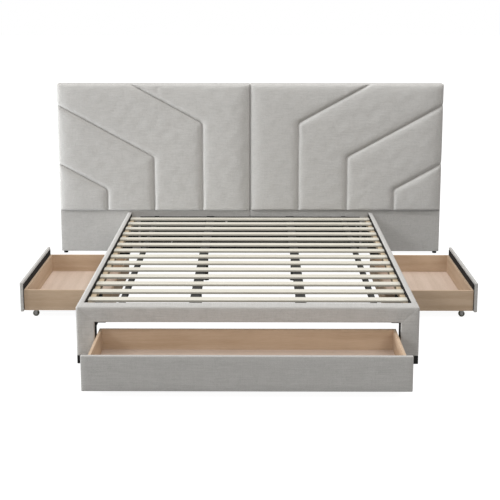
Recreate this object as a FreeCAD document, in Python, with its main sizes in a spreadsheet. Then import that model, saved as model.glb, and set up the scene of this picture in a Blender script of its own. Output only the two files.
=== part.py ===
import FreeCAD, Part
import Sketcher
import math
import os
import re

# An upholstered platform bed. It has a wide two-part headboard, a slatted base on steel tubes, and three
# drawers on casters, one in each side rail and one in the footboard. +X is to the right seen from the foot,
# +Y is towards the headboard and +Z is up. In the sheet, places along Y are measured from the footboard's
# front face.

SIZES = {
    # Whole bed
    "bed_width": 1630,
    "rail_top": 284,
    "rail_thick": 30,
    "cover_low": 41,
    "cover_thick": 5,
    "cover_round": 12,
    "small_round": 4,
    "edge_round": 3,
    "lining_thick": 1,
    # Headboard
    "head_half": 1262.5,
    "head_top": 1140,
    "head_low": 18,
    "half_gap": 0.1,
    "skirt_top": 301,
    "skirt_front": 2105,
    "pad_front": 2080,
    "panel_front": 2120,
    "panel_back": 2145,
    "batten_back": 2168.5,
    "cloth_back": 2170,
    "plate_back": 2172,
    "wrap": 7,
    "pad_round": 18,
    "batten_width": 60,
    "plate_half": 70,
    "plate_height": 40,
    "plate_low_z": 330,
    "plate_high_z": 960,
    "glide_radius": 14,
    "glide_inset": 23,
    "head_lining_half": 730,
    "head_lining_low": 20,
    "head_lining_top": 255,
    # Seams sewn into the headboard pads
    "seam_half": 2.5,
    "seam_depth": 18,
    "seam_slope": 0.55,
    "outer_seam_x": 946,
    "outer_seam_z": 440,
    "middle_seam_x": 635,
    "middle_seam_z": 657,
    "inner_seam_x": 315,
    "inner_seam_z": 882,
    # Footboard and side rails
    "foot_thick": 69,
    "foot_opening_half": 727,
    "opening_top": 206,
    "side_opening_start": 682,
    "side_opening_end": 1489,
    "ledger_width": 25,
    "leg_size": 50,
    "leg_inset": 5,
    "leg_side_inset": 1,
    # Slats and steel tubes
    "slat_top": 262,
    "slat_thick": 12,
    "slat_width": 55,
    "slat_half": 783,
    "slat_first": 180,
    "slat_pitch": 139.3,
    "center_tube_x": 263,
    "center_tube_half": 24,
    "outer_tube_x": 620,
    "outer_tube_half": 12.5,
    "tube_height": 25,
    "tube_wall": 1.5,
    "saddle_thick": 2,
    "saddle_rise": 8,
    "saddle_depth": 30,
    "tube_leg_radius": 12,
    "tube_leg_near": 680,
    "tube_leg_far": 1469,
    "tube_foot_radius": 16,
    "tube_foot_height": 10,
    # Corner brackets and bolts
    "bracket_width": 40,
    "bracket_thick": 3,
    "bracket_low": 60,
    "bracket_high": 210,
    "bolt_radius": 7,
    "bolt_head": 4,
    "bolt_inset": 24,
    "bolt_low": 95,
    "bolt_high": 175,
    # Drawers
    "front_thick": 16,
    "backing_thick": 4,
    "front_top": 203,
    "board_thick": 12,
    "box_low": 45,
    "box_top": 158,
    "bottom_low": 50,
    "bottom_thick": 6,
    "wrap_down": 13,
    "side_front_face": 1232,
    "side_depth": 498,
    "side_front_start": 687,
    "side_front_end": 1484,
    "side_box_start": 702,
    "side_box_end": 1469,
    "foot_front_face": 455,
    "foot_depth": 511,
    "foot_front_start": -721.5,
    "foot_front_end": 721.5,
    "foot_box_start": -710,
    "foot_box_end": 710,
    # Casters
    "wheel_radius": 17,
    "wheel_half": 7,
    "wheel_round": 2.5,
    "hub_radius": 9,
    "hub_sink": 1.5,
    "pin_radius": 2.5,
    "pin_clearance": 0.05,
    "pin_half": 11.5,
    "cheek_gap": 8,
    "cheek_thick": 2,
    "cheek_radius": 9,
    "mount_half": 18,
    "mount_thick": 2,
    "side_caster_inset": 73,
    "foot_caster_inset": 120,
    "caster_inner_inset": 60,
    "caster_end_inset": 59,
}
SLAT_COUNT = 14
HALVES = ("left", "right")

# The frame's origin is at floor level under the middle of the whole bed, its drawers out as they rest.
SIZES["frame_shift"] = (SIZES["plate_back"] - SIZES["foot_front_face"]) / 2

doc = FreeCAD.newDocument("PlatformBed")
sheet = doc.addObject("Spreadsheet::Sheet", "Sizes")
for row, (alias, value) in enumerate(SIZES.items(), start=1):
    sheet.set(f"A{row}", alias.replace("_", " "))
    sheet.set(f"B{row}", str(value))
    sheet.setAlias(f"B{row}", alias)
doc.recompute()

nodes = []


# ---------------------------------------------------------------- helpers


def bind(thing, prop, text):
    """Sets a property to a formula whose names are read from the sheet."""
    thing.setExpression(prop, re.sub(r"\b(?!sqrt)[a-z]\w+", lambda name: f"Sizes.{name.group()}", text))


def bind_corner(thing, x, y, z):
    for axis, text in zip("xyz", (x, y, z)):
        bind(thing, f"Placement.Base.{axis}", text)


def bind_box(thing, x, y, z):
    """Gives a box the spans x, y and z, each a low and a high formula."""
    for prop, (low, high) in zip(("Length", "Width", "Height"), (x, y, z)):
        bind(thing, prop, f"({high}) - ({low})")
    bind_corner(thing, x[0], y[0], z[0])


def node(thing):
    """Marks an object as one of the bed's sub-parts."""
    nodes.append(thing)
    return thing


def group(label, things):
    """Separate solids that share a node."""
    together = doc.addObject("Part::Compound", label)
    together.Links = things
    return node(together)


def board(label, x, y, z):
    box = doc.addObject("Part::Box", label)
    bind_box(box, x, (f"{y[0]} - frame_shift", f"{y[1]} - frame_shift"), z)
    return box


def fused(label, things):
    whole = doc.addObject("Part::MultiFuse", label)
    whole.Shapes = things
    return whole


def difference(label, base, tool):
    cut = doc.addObject("Part::Cut", label)
    cut.Base = base
    cut.Tool = tool
    return cut


def rod(label, radius, length, start, along):
    """A cylinder that runs from a start point along an axis."""
    cylinder = doc.addObject("Part::Cylinder", label)
    cylinder.Placement.Rotation = turned(along)
    bind(cylinder, "Radius", radius)
    bind(cylinder, "Height", length)
    x, y, z = start
    bind_corner(cylinder, x, f"{y} - frame_shift", z)
    return cylinder


def turned(along):
    """The rotation that lays the Z axis along another axis."""
    ways = {"X": FreeCAD.Vector(1, 0, 0), "Y": FreeCAD.Vector(0, 1, 0), "Z": FreeCAD.Vector(0, 0, 1)}
    return FreeCAD.Rotation(ways["Z"], ways[along])


def middle(low, high):
    return f"(({low}) + ({high})) / 2"


def reverse(low, high):
    return f"-({high})", f"-({low})"


def on_half(half, low, high):
    """A span along X on one half of the bed, given as distances from its middle."""
    return (low, high) if half == "right" else reverse(low, high)


def new_body(label):
    """A body in the sheet's own coordinates."""
    body = doc.addObject("PartDesign::Body", label)
    bind(body, "Placement.Base.y", "-frame_shift")
    return body


def block(label, x, y, z):
    """A body that starts as a box with the spans x, y and z."""
    body = new_body(label)
    box = body.newObject("PartDesign::AdditiveBox", label + "_stock")
    bind_box(box, x, y, z)
    return body


def hollow(body, name, x, y, z):
    cut = body.newObject("PartDesign::SubtractiveBox", name)
    bind_box(cut, x, y, z)


def round_edges(body, radius, wanted):
    """Fillets the edges of a body's tip whose middle point is wanted."""
    doc.recompute()
    base = body.Tip
    names = []
    for number, edge in enumerate(base.Shape.Edges, start=1):
        if wanted(edge.valueAt((edge.FirstParameter + edge.LastParameter) / 2)):
            names.append(f"Edge{number}")
    fillet = body.newObject("PartDesign::Fillet", body.Name + "_round")
    fillet.Base = (base, names)
    bind(fillet, "Radius", radius)


def near(value, *targets):
    return any(abs(value - target) < 0.01 for target in targets)


# ---------------------------------------------------------------- headboard


def headboard_pad(half):
    """The padded upper part: rounded towards the room, wrapped round the panel, and sewn into channels."""
    label = f"headboard_pad_{half}"
    thick = ("pad_front", "batten_back")
    body = block(label, on_half(half, "half_gap", "head_half"), thick, ("skirt_top", "head_top"))
    front, top, sides = SIZES["pad_front"], SIZES["head_top"], (SIZES["head_half"], SIZES["half_gap"])
    round_edges(body, "pad_round", lambda p: near(p.y, front) and (near(p.z, top) or near(abs(p.x), *sides)))
    behind = ("panel_front", "batten_back")
    hollow(
        body,
        label + "_recess",
        on_half(half, "half_gap - wrap", "head_half - wrap"),
        behind,
        ("skirt_top - wrap", "head_top - wrap"),
    )
    doc.recompute()
    volume = body.Shape.Volume
    sew_channels(body, half)
    doc.recompute()
    assert body.Shape.Volume < volume, "the seams cut nothing"
    node(body)


def sew_channels(body, half):
    """Three seams, each straight up from the skirt and then slanting outwards to the pad's edge."""
    sketch = body.newObject("Sketcher::SketchObject", f"seams_{half}")
    planes = {plane.Role: plane for plane in body.Origin.OriginFeatures}
    sketch.AttachmentSupport = [(planes["XZ_Plane"], "")]
    sketch.MapMode = "FlatFace"
    bind(sketch, "AttachmentOffset.Base.z", "-pad_front")
    steep = "seam_half * sqrt(1 + seam_slope * seam_slope)"
    sign = "" if half == "right" else "-"
    for seam in ("outer", "middle", "inner"):
        x, z = f"{seam}_seam_x", f"{seam}_seam_z"
        width = f"(head_top - {z}) / seam_slope" if seam == "inner" else f"head_half - {x}"
        run = f"({width} + seam_depth)"
        corners = (
            (f"{x} - seam_half", "skirt_top - wrap"),
            (f"{x} - seam_half", f"{z} - seam_half * seam_slope + {steep}"),
            (f"{x} + {run}", f"{z} + seam_slope * {run} + {steep}"),
            (f"{x} + {run}", f"{z} + seam_slope * {run} - {steep}"),
            (f"{x} + seam_half", f"{z} + seam_half * seam_slope - {steep}"),
            (f"{x} + seam_half", "skirt_top - wrap"),
        )
        draw_outline(sketch, [(f"{sign}({across})", up) for across, up in corners], seam)
    pocket = body.newObject("PartDesign::Pocket", f"seam_cut_{half}")
    pocket.Profile = sketch
    bind(pocket, "Length", "seam_depth")


def draw_outline(sketch, corners, name):
    """A closed polygon whose corners are each held by two formulas."""
    first, count = sketch.GeometryCount, len(corners)
    start = [FreeCAD.Vector(math.cos(i), math.sin(i), 0) for i in range(count)]
    for i in range(count):
        sketch.addGeometry(Part.LineSegment(start[i], start[(i + 1) % count]))
    for i in range(count):
        sketch.addConstraint(Sketcher.Constraint("Coincident", first + i, 2, first + (i + 1) % count, 1))
    for i, corner in enumerate(corners):
        for kind, text, value in zip(("DistanceX", "DistanceY"), corner, start[i]):
            held = sketch.addConstraint(Sketcher.Constraint(kind, first + i, 1, value))
            sketch.renameConstraint(held, f"{name}_{kind}_{i}")
            bind(sketch, f"Constraints.{name}_{kind}_{i}", text)


def headboard_skirts():
    """The plain upholstered strip below each pad, wrapped round the panel's outer edge."""
    skirts = []
    for half in HALVES:
        x, z = on_half(half, "half_gap", "head_half"), ("head_low", "skirt_top")
        body = block(f"headboard_skirt_{half}", x, ("skirt_front", "batten_back"), z)
        front, outer = SIZES["skirt_front"], SIZES["head_half"]
        round_edges(body, "small_round", lambda p: near(p.y, front) and near(abs(p.x), outer))
        room = on_half(half, "half_gap - wrap", "head_half - wrap")
        hollow(body, f"{half}_skirt_recess", room, ("panel_front", "batten_back"), z)
        skirts.append(body)
    group("headboard_skirts", skirts)


def headboard_structure():
    """Panels, the battens behind them, the back cloths and the plates that join the halves."""
    battens, cloths = [], []
    z, depth = ("head_low", "head_top - wrap"), ("panel_back", "batten_back")
    edge = "head_half - wrap"
    posts = (
        ("half_gap", "half_gap + batten_width"),
        ("(head_half - batten_width) / 2", "(head_half + batten_width) / 2"),
        (f"{edge} - batten_width", edge),
    )
    levels = ("head_low", "skirt_top", "head_top - wrap - batten_width")
    for half in HALVES:
        x = on_half(half, "half_gap", edge)
        node(board(f"headboard_panel_{half}", x, ("panel_front", "panel_back"), z))
        cloths.append(board(f"back_cloth_{half}", x, ("batten_back", "cloth_back"), z))
        for i, span in enumerate(posts, start=1):
            battens.append(board(f"{half}_post_{i}", on_half(half, *span), depth, z))
        for bay, (inner_post, outer_post) in enumerate(zip(posts, posts[1:]), start=1):
            across = on_half(half, inner_post[1], outer_post[0])
            for level, low in enumerate(levels, start=1):
                span = (low, f"{low} + batten_width")
                battens.append(board(f"{half}_batten_{bay}_{level}", across, depth, span))
    group("headboard_battens", battens)
    group("headboard_back_cloths", cloths)
    plates, x = [], ("-plate_half", "plate_half")
    for name in ("low", "high"):
        span = (f"plate_{name}_z", f"plate_{name}_z + plate_height")
        plates.append(board(f"{name}_plate", x, ("cloth_back", "plate_back"), span))
    group("headboard_joining_plates", plates)


def headboard_glides():
    """Three round glides under each half."""
    spots = ("half_gap + batten_width / 2", "head_half / 2", "head_half - glide_inset")
    glides = []
    for half in HALVES:
        for i, spot in enumerate(spots, start=1):
            start = (on_half(half, spot, spot)[0], middle("panel_front", "batten_back"), "0")
            glides.append(rod(f"{half}_glide_{i}", "glide_radius", "head_low", start, "Z"))
    group("headboard_glides", glides)


# ---------------------------------------------------------------- footboard and side rails


def arch(label, plan, ends, opening, depth, top, opening_top):
    """A plain inverted U: a board between two ends with an opening cut in it from below."""
    whole = board(label + "_whole", *plan(ends, depth), ("cover_low", top))
    gap = board(label + "_gap", *plan(opening, depth), ("cover_low", opening_top))
    return difference(label, whole, gap)


def upholstered_arch(names, plan, ends, opening, thick, end_skin, rounded):
    """An inverted U of three boards in a padded cover, with black lining inside. The plan turns a span along
    it and a span of depth from its outer face into spans along X and Y. Returns the lining."""
    cover_depth = ("0", f"{thick} - lining_thick")
    core_depth = ("cover_thick", f"{thick} - lining_thick")
    z, top = ("cover_low", "rail_top"), "rail_top - cover_thick"
    body = block(names["cover"], *plan(ends, cover_depth), z)
    hollow(body, names["cover"] + "_opening", *plan(opening, cover_depth), ("cover_low", "opening_top"))
    rounded(body)
    first, last = f"{ends[0]} + {end_skin}", f"{ends[1]} - {end_skin}"
    before, after = f"{opening[0]} - cover_thick", f"{opening[1]} + cover_thick"
    boards = {
        "start": ((first, before), ("cover_low", top)),
        "beam": ((before, after), ("opening_top + cover_thick", top)),
        "end": ((after, last), ("cover_low", top)),
    }
    core = []
    for name, (along, tall) in boards.items():
        hollow(body, f"{names['cover']}_{name}_room", *plan(along, core_depth), tall)
        core.append(board(f"{names['core']}_{name}", *plan(along, core_depth), tall))
    node(body)
    group(names["core"], core)
    sheet_depth = (f"{thick} - lining_thick", thick)
    edge_depth = ("2 * cover_thick", thick)
    inner = (f"{opening[0]} + lining_thick", f"{opening[1]} - lining_thick")
    inner_top = "opening_top - lining_thick"
    face = arch(names["lining"] + "_face", plan, names["lined"], opening, sheet_depth, top, "opening_top")
    edge = arch(names["lining"] + "_edge", plan, opening, inner, edge_depth, "opening_top", inner_top)
    return fused(names["lining"], [face, edge])


def footboard():
    half_width = SIZES["bed_width"] / 2
    opening_half, top, gap_top = SIZES["foot_opening_half"], SIZES["rail_top"], SIZES["opening_top"]

    def outer(p):
        on_top, on_side = near(p.z, top), near(abs(p.x), half_width)
        return near(p.y, 0) and (on_top or on_side) or on_top and on_side

    def inner(p):
        return near(p.y, 0) and (near(p.z, gap_top) or near(abs(p.x), opening_half))

    def rounded(body):
        round_edges(body, "cover_round", outer)
        round_edges(body, "small_round", inner)

    inside = "bed_width / 2 - rail_thick"
    names = {
        "cover": "footboard_cover",
        "core": "footboard_core",
        "lining": "footboard_lining",
        "lined": (f"-({inside})", inside),
    }
    return upholstered_arch(
        names,
        lambda along, depth: (along, depth),
        ("-bed_width / 2", "bed_width / 2"),
        ("-foot_opening_half", "foot_opening_half"),
        "foot_thick",
        "cover_thick",
        rounded,
    )


def side_rail(half):
    face, top, gap_top = SIZES["bed_width"] / 2, SIZES["rail_top"], SIZES["opening_top"]
    gap_ends = (SIZES["side_opening_start"], SIZES["side_opening_end"])

    def inner(p):
        return near(abs(p.x), face) and (near(p.z, gap_top) or near(p.y, *gap_ends))

    def rounded(body):
        round_edges(body, "cover_round", lambda p: near(abs(p.x), face) and near(p.z, top))
        round_edges(body, "small_round", inner)

    names = {
        "cover": f"side_rail_cover_{half}",
        "core": f"side_rail_core_{half}",
        "lining": f"side_rail_lining_{half}",
        "lined": ("foot_thick", "skirt_front - lining_thick"),
    }
    return upholstered_arch(
        names,
        lambda along, depth: (
            on_half(half, f"bed_width / 2 - ({depth[1]})", f"bed_width / 2 - ({depth[0]})"),
            along,
        ),
        ("foot_thick", "skirt_front"),
        ("side_opening_start", "side_opening_end"),
        "rail_thick",
        "0",
        rounded,
    )


def linings():
    """The black cloth inside the footboard, on the rails, and on the headboard between the rails."""
    x = ("-head_lining_half", "head_lining_half")
    y = ("skirt_front - lining_thick", "skirt_front")
    head = board("headboard_lining", x, y, ("head_lining_low", "head_lining_top"))
    group("black_linings", [footboard(), side_rail("left"), side_rail("right"), head])


def ledgers():
    """The wooden strips on the rails that the slats lie on."""
    inside, slat_low = "bed_width / 2 - rail_thick", "slat_top - slat_thick"
    strips = []
    for half in HALVES:
        x = on_half(half, f"{inside} - ledger_width", inside)
        y = ("foot_thick", "skirt_front - lining_thick")
        strips.append(board(f"{half}_ledger", x, y, (f"{slat_low} - ledger_width", slat_low)))
    group("slat_ledgers", strips)


def bed_legs():
    """Black blocks under the footboard's corners and at both ends of each side opening."""
    outer = "bed_width / 2 - leg_side_inset"
    starts = (
        "leg_inset",
        "side_opening_start - leg_inset - leg_size",
        "side_opening_end + leg_inset",
    )
    legs = []
    for half in HALVES:
        x = on_half(half, f"{outer} - leg_size", outer)
        for i, start in enumerate(starts, start=1):
            leg = block(f"{half}_leg_{i}", x, (start, f"{start} + leg_size"), ("0", "cover_low"))
            round_edges(leg, "edge_round", lambda p: near(p.z, SIZES["cover_low"] / 2))
            legs.append(leg)
    group("bed_legs", legs)


# ---------------------------------------------------------------- slats and steel tubes


def slats():
    for i in range(SLAT_COUNT):
        start = f"slat_first + {i} * slat_pitch"
        x, y = ("-slat_half", "slat_half"), (start, f"{start} + slat_width")
        slat = block(f"slat_{i + 1:02d}", x, y, ("slat_top - slat_thick", "slat_top"))
        round_edges(slat, "edge_round", lambda p: near(p.x, 0))
        node(slat)


def tube(half, name):
    """A square steel tube along the bed, open at its ends, and the saddles that hold its ends."""
    across = (f"{name}_tube_x - {name}_tube_half", f"{name}_tube_x + {name}_tube_half")
    top, low = "slat_top - slat_thick", "slat_top - slat_thick - tube_height"
    start, end = "foot_thick + saddle_thick", "skirt_front - lining_thick - saddle_thick"
    outside = board(f"{half}_{name}_tube_outside", on_half(half, *across), (start, end), (low, top))
    bore = board(
        f"{half}_{name}_tube_bore",
        on_half(half, f"{across[0]} + tube_wall", f"{across[1]} - tube_wall"),
        (start, end),
        (f"{low} + tube_wall", f"{top} - tube_wall"),
    )
    cheeks = (
        on_half(half, f"{across[0]} - saddle_thick", across[0]),
        on_half(half, across[1], f"{across[1]} + saddle_thick"),
    )
    wide = on_half(half, f"{across[0]} - saddle_thick", f"{across[1]} + saddle_thick")
    floor = (f"{low} - saddle_thick", low)
    saddles = []
    ends = {
        "foot": ((start, f"{start} + saddle_depth"), ("foot_thick", start)),
        "head": ((f"{end} - saddle_depth", end), (end, f"{end} + saddle_thick")),
    }
    for place, (under, plate) in ends.items():
        label = f"{half}_{name}_{place}_saddle"
        parts = [
            board(label + "_plate", wide, plate, (floor[0], f"{top} + saddle_rise")),
            board(label + "_floor", wide, under, floor),
        ]
        for i, x in enumerate(cheeks, start=1):
            parts.append(board(f"{label}_cheek_{i}", x, under, (low, f"{top} - tube_wall")))
        saddles.append(fused(label, parts))
    return difference(f"{half}_{name}_tube", outside, bore), saddles


def tubes():
    saddles = []
    for name in ("center", "outer"):
        made = [tube(half, name) for half in HALVES]
        group(f"{name}_tubes", [body for body, _ in made])
        saddles += [saddle for _, ends in made for saddle in ends]
    group("tube_saddles", saddles)


def tube_legs():
    """Round legs with plastic feet under the two wide tubes."""
    legs, feet = [], []
    for half in HALVES:
        x = on_half(half, "center_tube_x", "center_tube_x")[0]
        for place in ("near", "far"):
            y = f"tube_leg_{place}"
            height = "slat_top - slat_thick - tube_height - tube_foot_height"
            start = (x, y, "tube_foot_height")
            legs.append(rod(f"{half}_{place}_leg", "tube_leg_radius", height, start, "Z"))
            feet.append(rod(f"{half}_{place}_foot", "tube_foot_radius", "tube_foot_height", (x, y, "0"), "Z"))
    group("tube_legs", legs)
    group("tube_leg_feet", feet)


def corner_brackets():
    """Steel angles in the frame's four inner corners, and the bolts through them."""
    brackets, bolts = [], []
    for half in HALVES:
        for place in ("foot", "head"):
            bracket, heads = corner_bracket(half, place)
            brackets.append(bracket)
            bolts += heads
    group("corner_brackets", brackets)
    group("bracket_bolts", bolts)


def corner_bracket(half, place):
    """One angle, with a leg on the rail and a leg on the footboard or headboard, and its four bolt heads."""
    label, z = f"{half}_{place}_bracket", ("bracket_low", "bracket_high")
    rail = "bed_width / 2 - rail_thick"

    def off_rail(low, high):
        """A span of distances from the rail, along X."""
        return on_half(half, f"{rail} - ({high})", f"{rail} - ({low})")

    def off_wall(low, high):
        """A span of distances from the footboard or the headboard, along Y."""
        if place == "foot":
            return f"foot_thick + {low}", f"foot_thick + {high}"
        return f"skirt_front - ({high})", f"skirt_front - ({low})"

    on_rail = board(label + "_rail_leg", off_rail("0", "bracket_thick"), off_wall("0", "bracket_width"), z)
    on_wall = board(label + "_wall_leg", off_rail("0", "bracket_width"), off_wall("0", "bracket_thick"), z)
    outside = ("bracket_thick", "bracket_thick + bolt_head")
    across_rail = off_rail("bolt_inset", "bolt_inset")[0]
    across_wall = off_wall("bolt_inset", "bolt_inset")[0]
    heads = []
    for level in ("bolt_low", "bolt_high"):
        rail_start = (off_rail(*outside)[0], across_wall, level)
        wall_start = (across_rail, off_wall(*outside)[0], level)
        heads.append(rod(f"{label}_rail_{level}", "bolt_radius", "bolt_head", rail_start, "X"))
        heads.append(rod(f"{label}_wall_{level}", "bolt_radius", "bolt_head", wall_start, "Y"))
    return fused(label, [on_rail, on_wall]), heads


# ---------------------------------------------------------------- drawers

# Each plan turns a span outwards from the bed and a span across the drawer into spans along X and Y.
DRAWER_PLANS = {
    "left": lambda out, across: (reverse(*out), across),
    "right": lambda out, across: (out, across),
    "foot": lambda out, across: (across, reverse(*out)),
}


def drawer(name):
    plan = DRAWER_PLANS[name]
    kind = "foot" if name == "foot" else "side"
    face, back = f"{kind}_front_face", f"{kind}_front_face - {kind}_depth"
    box_face = f"{face} - front_thick - backing_thick"
    front = (f"{kind}_front_start", f"{kind}_front_end")
    box = (f"{kind}_box_start", f"{kind}_box_end")
    inner_out = (f"{back} + board_thick", f"{box_face} - board_thick")
    inner = (f"{box[0]} + board_thick", f"{box[1]} - board_thick")
    label = f"drawer_{name}"

    panel = block(f"{label}_front", *plan((f"{face} - front_thick", face), front), ("cover_low", "front_top"))
    round_edges(panel, "small_round", lambda p: True)
    node(panel)
    backing_out = (box_face, f"{box_face} + backing_thick")
    backing_z = ("cover_low + wrap_down", "front_top - wrap_down")
    node(board(f"{label}_lining", *plan(backing_out, box), backing_z))

    z = ("box_low", "box_top")
    walls = {
        "front_wall": ((inner_out[1], box_face), box),
        "back_wall": ((back, inner_out[0]), box),
        "start_wall": (inner_out, (box[0], inner[0])),
        "end_wall": (inner_out, (inner[1], box[1])),
    }
    group(f"{label}_box", [board(f"{label}_{wall}", *plan(*spans), z) for wall, spans in walls.items()])
    node(board(f"{label}_bottom", *plan(inner_out, inner), ("bottom_low", "bottom_low + bottom_thick")))

    forks = []
    rows = {"outer": f"{face} - {kind}_caster_inset", "inner": f"{back} + caster_inner_inset"}
    columns = {"start": f"{front[0]} + caster_end_inset", "end": f"{front[1]} - caster_end_inset"}
    for row, out in rows.items():
        wheels = []
        for column, across in columns.items():
            spot = f"{label}_{row}_{column}"
            forks.append(caster_fork(f"{spot}_fork", plan, name, out, across))
            wheels.append(wheel(f"{spot}_wheel", plan, name, out, across))
        group(f"{label}_{row}_wheels", wheels)
    group(f"{label}_caster_forks", forks)


def caster_fork(label, plan, name, out, across):
    """A fixed caster's mounting plate, two cheeks and the pin between them."""
    along = "X" if name == "foot" else "Y"
    wide = (f"{out} - mount_half", f"{out} + mount_half")
    narrow = (f"{out} - cheek_radius", f"{out} + cheek_radius")
    plate_x, plate_y = plan(wide, (f"{across} - mount_half", f"{across} + mount_half"))
    parts = [board(label + "_plate", plate_x, plate_y, ("bottom_low - mount_thick", "bottom_low"))]
    cheeks = {"start": f"{across} - cheek_gap - cheek_thick", "end": f"{across} + cheek_gap"}
    for side, low in cheeks.items():
        x, y = plan(narrow, (low, f"{low} + cheek_thick"))
        parts.append(board(f"{label}_{side}_cheek", x, y, ("wheel_radius", "bottom_low - mount_thick")))
        x, y = plan((out, out), (low, low))
        ear = (x[0], y[0], "wheel_radius")
        parts.append(rod(f"{label}_{side}_ear", "cheek_radius", "cheek_thick", ear, along))
    x, y = plan((out, out), (f"{across} - pin_half", f"{across} - pin_half"))
    parts.append(rod(label + "_pin", "pin_radius", "2 * pin_half", (x[0], y[0], "wheel_radius"), along))
    return fused(label, parts)


def wheel(label, plan, name, out, across):
    """A plastic wheel with rounded rims, sunk hub faces and a bore that runs on the fork's pin."""
    body = doc.addObject("PartDesign::Body", label)
    tread = body.newObject("PartDesign::AdditiveCylinder", label + "_tread")
    bind(tread, "Radius", "wheel_radius")
    bind(tread, "Height", "2 * wheel_half")
    bind(tread, "Placement.Base.z", "-wheel_half")
    radius, rim = SIZES["wheel_radius"], SIZES["wheel_half"]
    round_edges(body, "wheel_round", lambda p: near(math.hypot(p.x, p.y), radius) and near(abs(p.z), rim))
    cuts = {
        "low_hub": ("hub_radius", "hub_sink", "-wheel_half"),
        "high_hub": ("hub_radius", "hub_sink", "wheel_half - hub_sink"),
        "bore": ("pin_radius + pin_clearance", "2 * wheel_half", "-wheel_half"),
    }
    for cut_name, (cut_radius, height, low) in cuts.items():
        cut = body.newObject("PartDesign::SubtractiveCylinder", f"{label}_{cut_name}")
        bind(cut, "Radius", cut_radius)
        bind(cut, "Height", height)
        bind(cut, "Placement.Base.z", low)
    body.Placement.Rotation = turned("X" if name == "foot" else "Y")
    x, y = plan((out, out), (across, across))
    bind_corner(body, x[0], f"{y[0]} - frame_shift", "wheel_radius")
    return body


# ---------------------------------------------------------------- the whole bed


def check_and_write():
    """Stops on any object that failed, then writes each sub-part."""
    doc.recompute()
    for thing in doc.Objects:
        if "Invalid" in thing.State or "Error" in thing.State:
            raise ValueError(f"{thing.Label} failed: {thing.State}")
    os.makedirs("parts", exist_ok=True)
    for part in nodes:
        if part.Shape.isNull() or not part.Shape.isValid() or not part.Shape.Solids:
            raise ValueError(f"{part.Label} has no sound shape")
    for part in nodes:
        part.Shape.exportStep(f"parts/{part.Label}.step")
    print(len(nodes), "sub-parts written")


for half in HALVES:
    headboard_pad(half)
headboard_skirts()
headboard_structure()
headboard_glides()
linings()
ledgers()
bed_legs()
slats()
tubes()
tube_legs()
corner_brackets()
for name in DRAWER_PLANS:
    drawer(name)
check_and_write()
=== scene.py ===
import bmesh
import bpy
import math
import numpy as np
from mathutils import Matrix, Vector
from mathutils.geometry import delaunay_2d_cdt


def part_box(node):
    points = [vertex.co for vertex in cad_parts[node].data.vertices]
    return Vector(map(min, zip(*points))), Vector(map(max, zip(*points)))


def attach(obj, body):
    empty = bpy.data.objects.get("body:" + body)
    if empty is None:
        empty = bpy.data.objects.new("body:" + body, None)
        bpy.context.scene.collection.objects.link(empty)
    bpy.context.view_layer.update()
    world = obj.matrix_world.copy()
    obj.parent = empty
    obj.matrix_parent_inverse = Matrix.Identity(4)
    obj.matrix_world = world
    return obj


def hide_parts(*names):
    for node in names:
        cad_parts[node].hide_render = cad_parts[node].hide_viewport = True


# The bed's looks. Every length is in metres, in the same frame as the CAD model.

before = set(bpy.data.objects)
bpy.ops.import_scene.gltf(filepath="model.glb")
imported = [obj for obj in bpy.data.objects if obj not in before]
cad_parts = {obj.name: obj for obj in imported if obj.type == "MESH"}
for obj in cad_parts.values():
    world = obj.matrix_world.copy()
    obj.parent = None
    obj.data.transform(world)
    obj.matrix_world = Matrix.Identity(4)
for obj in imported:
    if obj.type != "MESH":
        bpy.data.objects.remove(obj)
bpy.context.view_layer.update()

# Sizes of the design that a node's box alone doesn't give, as in the CAD sheet
OPENING_TOP = 0.206
FOOT_OPENING_HALF = 0.727
SIDE_OPENING = (-0.1765, 0.6305)
SEAM_SLOPE = 0.55
SEAM_CORNERS = ((0.946, 0.440), (0.635, 0.657), (0.315, 0.882))

# The pocket in a cover's back that takes its boards: how wide the cover is round them, and the pocket's depth
HEAD_POCKET = (0.0068, 0.0485)
FOOT_POCKET = (0.0045, 0.062)
RAIL_POCKET = (0.0045, 0.023)

# What runs down into a panel's front: the depth and width of the crease, and of the slope that leads to it
SEWN_CHANNEL = (0.0130, 0.0075, 0.0040, 0.055)
SKIRT_CREASE = (0.0006, 0.006, 0.0008, 0.014)
FOOTBOARD_FOLD = (0.0007, 0.003, 0.0006, 0.012)

# How far a seam pulls the panel's outline in, as a share of the seam's depth
SEAM_WRAP = 0.25

# Rows of mesh points beside a seam: how far from it they are, and how much room each point takes
SEAM_ROWS = ((0.004, 0.003), (0.009, 0.0045), (0.015, 0.006), (0.023, 0.008), (0.034, 0.010))

# Rings of mesh points inside a panel's outline: over its rounded edge, at steps of some degrees, and beyond
# it, at some multiples of the edge radius. The outline's corners are rounded in the same steps.
EDGE_STEP = 15
FLAT_RINGS = (1.5, 2.3)

# Rows of faces down a panel's side, and the spacing of the mesh on its flat back
SIDE_LEVELS = 5
BACK_GRID = 0.12

# The padding's unevenness: the length of a slow wave, and the length and share of a quick one
SLOW_WAVE = 0.11
QUICK_WAVE = 0.035
QUICK_SHARE = 0.35

# The cloth simulation that swells the padding: its frames, its pressure, how much the cloth shrinks (it grows
# a little, because this is negative), and how far it may move a point
PUFF_FRAMES = 12
PUFF_PRESSURE = 3.0
PUFF_SHRINK = -0.004
PUFF_MOST = 0.001


# ---------------------------------------------------------------- small helpers


def add_to_scene(name, data):
    """An object with some data, linked to the scene."""
    thing = bpy.data.objects.new(name, data)
    bpy.context.scene.collection.objects.link(thing)
    return thing


def new_piece(name, mesh, body, material, replaces):
    """An object made from a mesh, riding on a body and standing for some CAD nodes."""
    piece = add_to_scene(name, mesh)
    mesh.materials.append(material)
    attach(piece, body)
    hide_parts(*replaces)
    return piece


def paint(thing, material):
    """Gives a CAD node's mesh a finished material."""
    thing.data.materials.clear()
    thing.data.materials.append(material)


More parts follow.
